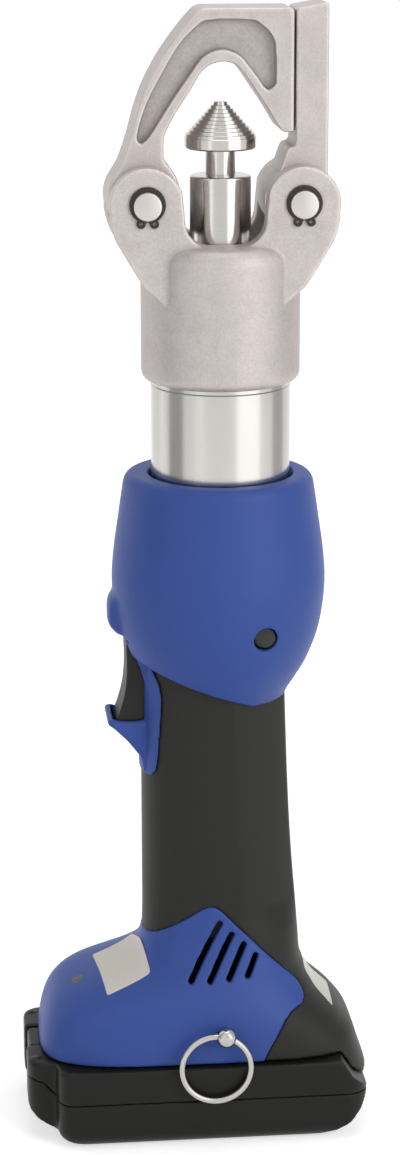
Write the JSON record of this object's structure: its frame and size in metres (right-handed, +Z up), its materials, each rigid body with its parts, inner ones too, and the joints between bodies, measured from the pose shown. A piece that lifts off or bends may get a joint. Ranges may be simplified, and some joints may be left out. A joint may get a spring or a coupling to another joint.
{
  "type": "hydraulic crimping tool",
  "caption": "Battery-powered in-line hydraulic crimping tool with a hinged hook yoke, swinging latch, stepped punch, blue housing, black grip and slide-on battery",
  "frame": {"origin": "on the tool axis at the underside of the battery", "axes": "+Z up along the tool axis to the jaw, -X towards the trigger, -Y towards the ring"},
  "size_m": [0.125, 0.0807, 0.4105],
  "materials": {
    "cast": "sand-blasted casting",
    "steel": "turned",
    "dark_steel": "blackened",
    "polished_steel": "ground and polished",
    "alloy": "machined",
    "rubber": "matt",
    "winding": "wound copper",
    "black_plastic": "fine grain",
    "blue_plastic": "satin",
    "battery_plastic": "satin",
    "board": "coated",
    "lamp": "tinted",
    "brass": "plated",
    "plate": "blank foil",
    "label": "blank",
    "cell": "sleeved"
  },
  "bodies": {
    "tool": {"head_retaining_ring": "steel", "hydraulic_cylinder": "polished_steel", "rod_guide": "alloy", "return_spring": "steel", "pump_block": "alloy", "pump_plunger": "steel", "plunger_spring": "steel", "relief_valve": "steel", "oil_bladder": "rubber", "shaft_bearings": "steel", "ring_gear": "dark_steel", "motor_can": "steel", "motor_magnets": "dark_steel", "motor_endcap": "black_plastic", "gearbox_cap": "alloy", "trigger_spring": "steel", "trigger_switch": "black_plastic", "trigger_guard": "blue_plastic", "control_board": "board", "status_lamp": "lamp", "cover_left": "blue_plastic", "cover_right": "blue_plastic", "grip_left": "black_plastic", "grip_right": "black_plastic", "foot_left": "blue_plastic", "foot_right": "blue_plastic", "battery_dock": "black_plastic", "dock_terminals": "brass", "housing_screws": "steel", "pump_screws": "dark_steel", "rating_plate": "plate", "rear_label": "label", "ring_stud": "polished_steel"},
    "head": {"head_body": "cast", "yoke_pin": "steel", "latch_pin": "steel", "pin_circlips": "dark_steel", "ram_wiper": "rubber"},
    "yoke_arm": {"yoke": "cast"},
    "latch_arm": {"latch": "cast"},
    "ram_rod": {"ram": "polished_steel", "piston_seal": "rubber", "punch": "polished_steel"},
    "trigger_lever": {"trigger": "black_plastic"},
    "ring_loop": {"hang_ring": "polished_steel"},
    "battery_pack": {"battery_case_lower": "battery_plastic", "battery_case_upper": "battery_plastic", "battery_cells": "cell", "battery_terminals": "brass"},
    "release_key": {"battery_button": "battery_plastic"},
    "rotor": {"motor_rotor": "winding", "motor_pinion": "steel"},
    "carrier": {"eccentric_shaft": "steel", "eccentric_bearing": "steel"},
    "planet_1": {"planet_gear_1": "steel"},
    "planet_2": {"planet_gear_2": "steel"},
    "planet_3": {"planet_gear_3": "steel"}
  },
  "joints": [
    {"name": "head_swivel", "type": "hinge", "parent": "tool", "child": "head", "pos_m": [0, 0, 0.2792], "axis": [0, 0, 1], "range_deg": [-175, 175]},
    {"name": "yoke_swing", "type": "hinge", "parent": "head", "child": "yoke_arm", "pos_m": [-0.027, 0, 0.343], "axis": [0, -1, 0], "range_deg": [0, 95]},
    {"name": "latch_swing", "type": "hinge", "parent": "head", "child": "latch_arm", "pos_m": [0.027, 0, 0.343], "axis": [0, 1, 0], "range_deg": [0, 40]},
    {"name": "ram_stroke", "type": "slide", "parent": "tool", "child": "ram_rod", "axis": [0, 0, 1], "range_m": [-0.018, 0.012], "deforming": ["return_spring"]},
    {"name": "trigger_pull", "type": "slide", "parent": "tool", "child": "trigger_lever", "axis": [1, 0, 0], "range_m": [0, 0.004], "stiffness_N_per_m": 300, "deforming": ["trigger_spring"]},
    {"name": "ring_swing", "type": "hinge", "parent": "tool", "child": "ring_loop", "pos_m": [-0.0019, -0.0394, 0.0436], "axis": [-0.9588, 0, 0.284], "range_deg": [0, 150]},
    {"name": "battery_slide", "type": "slide", "parent": "tool", "child": "battery_pack", "axis": [-1, 0, 0], "range_m": [0, 0.115]},
    {"name": "release_press", "type": "slide", "parent": "battery_pack", "child": "release_key", "axis": [1, 0, 0], "range_m": [0, 0.0025], "stiffness_N_per_m": 250},
    {"name": "rotor_spin", "type": "hinge", "parent": "tool", "child": "rotor", "pos_m": [0, 0, 0.1], "axis": [0, 0, 1], "continuous": true},
    {"name": "carrier_spin", "type": "hinge", "parent": "tool", "child": "carrier", "pos_m": [0, 0, 0.142], "axis": [0, 0, 1], "continuous": true},
    {"name": "planet_1_spin", "type": "hinge", "parent": "carrier", "child": "planet_1", "pos_m": [0.009, 0, 0.129], "axis": [0, 0, 1], "continuous": true},
    {"name": "planet_2_spin", "type": "hinge", "parent": "carrier", "child": "planet_2", "pos_m": [-0.0045, 0.00779, 0.129], "axis": [0, 0, 1], "continuous": true},
    {"name": "planet_3_spin", "type": "hinge", "parent": "carrier", "child": "planet_3", "pos_m": [-0.0045, -0.00779, 0.129], "axis": [0, 0, 1], "continuous": true}
  ],
  "couplings": [
    {"joint": "carrier_spin", "follows": "rotor_spin", "ratio": 0.2},
    {"joint": "planet_1_spin", "follows": "rotor_spin", "ratio": -0.53333},
    {"joint": "planet_2_spin", "follows": "rotor_spin", "ratio": -0.53333},
    {"joint": "planet_3_spin", "follows": "rotor_spin", "ratio": -0.53333}
  ]
}
